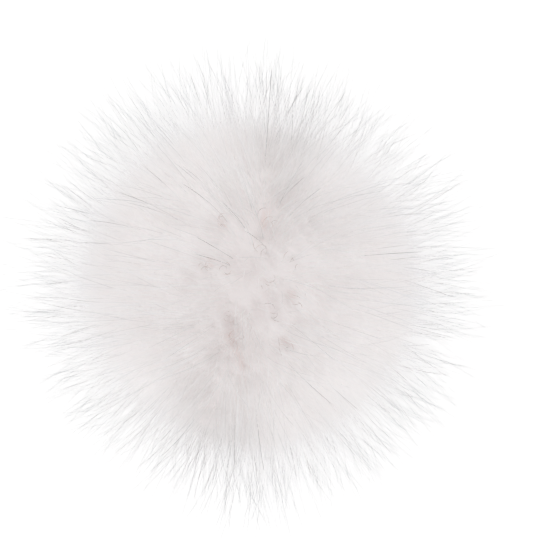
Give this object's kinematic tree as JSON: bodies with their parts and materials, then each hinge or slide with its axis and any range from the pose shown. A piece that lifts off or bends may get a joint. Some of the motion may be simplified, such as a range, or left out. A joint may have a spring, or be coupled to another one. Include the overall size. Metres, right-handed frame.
{
  "type": "pom pom",
  "caption": "Round long-pile faux-fur pom pom, flattened a little where it lies, with a sew-on press stud on its gathered base.",
  "frame": {"origin": "middle of the press stud's flat face, on the surface that the pom pom lies on", "axes": "+Z from the press stud up through the pom pom's face, +X to the right and +Y up in the face-on view"},
  "size_m": [0.1124, 0.11, 0.0965],
  "materials": {
    "fur": "long white pile",
    "stud_plate": "pressed and plated",
    "stud_spring": "bright drawn wire"
  },
  "bodies": {
    "root": {"fur": "fur", "press_stud": "stud_plate", "stud_spring_left": "stud_spring", "stud_spring_right": "stud_spring"}
  },
  "joints": []
}
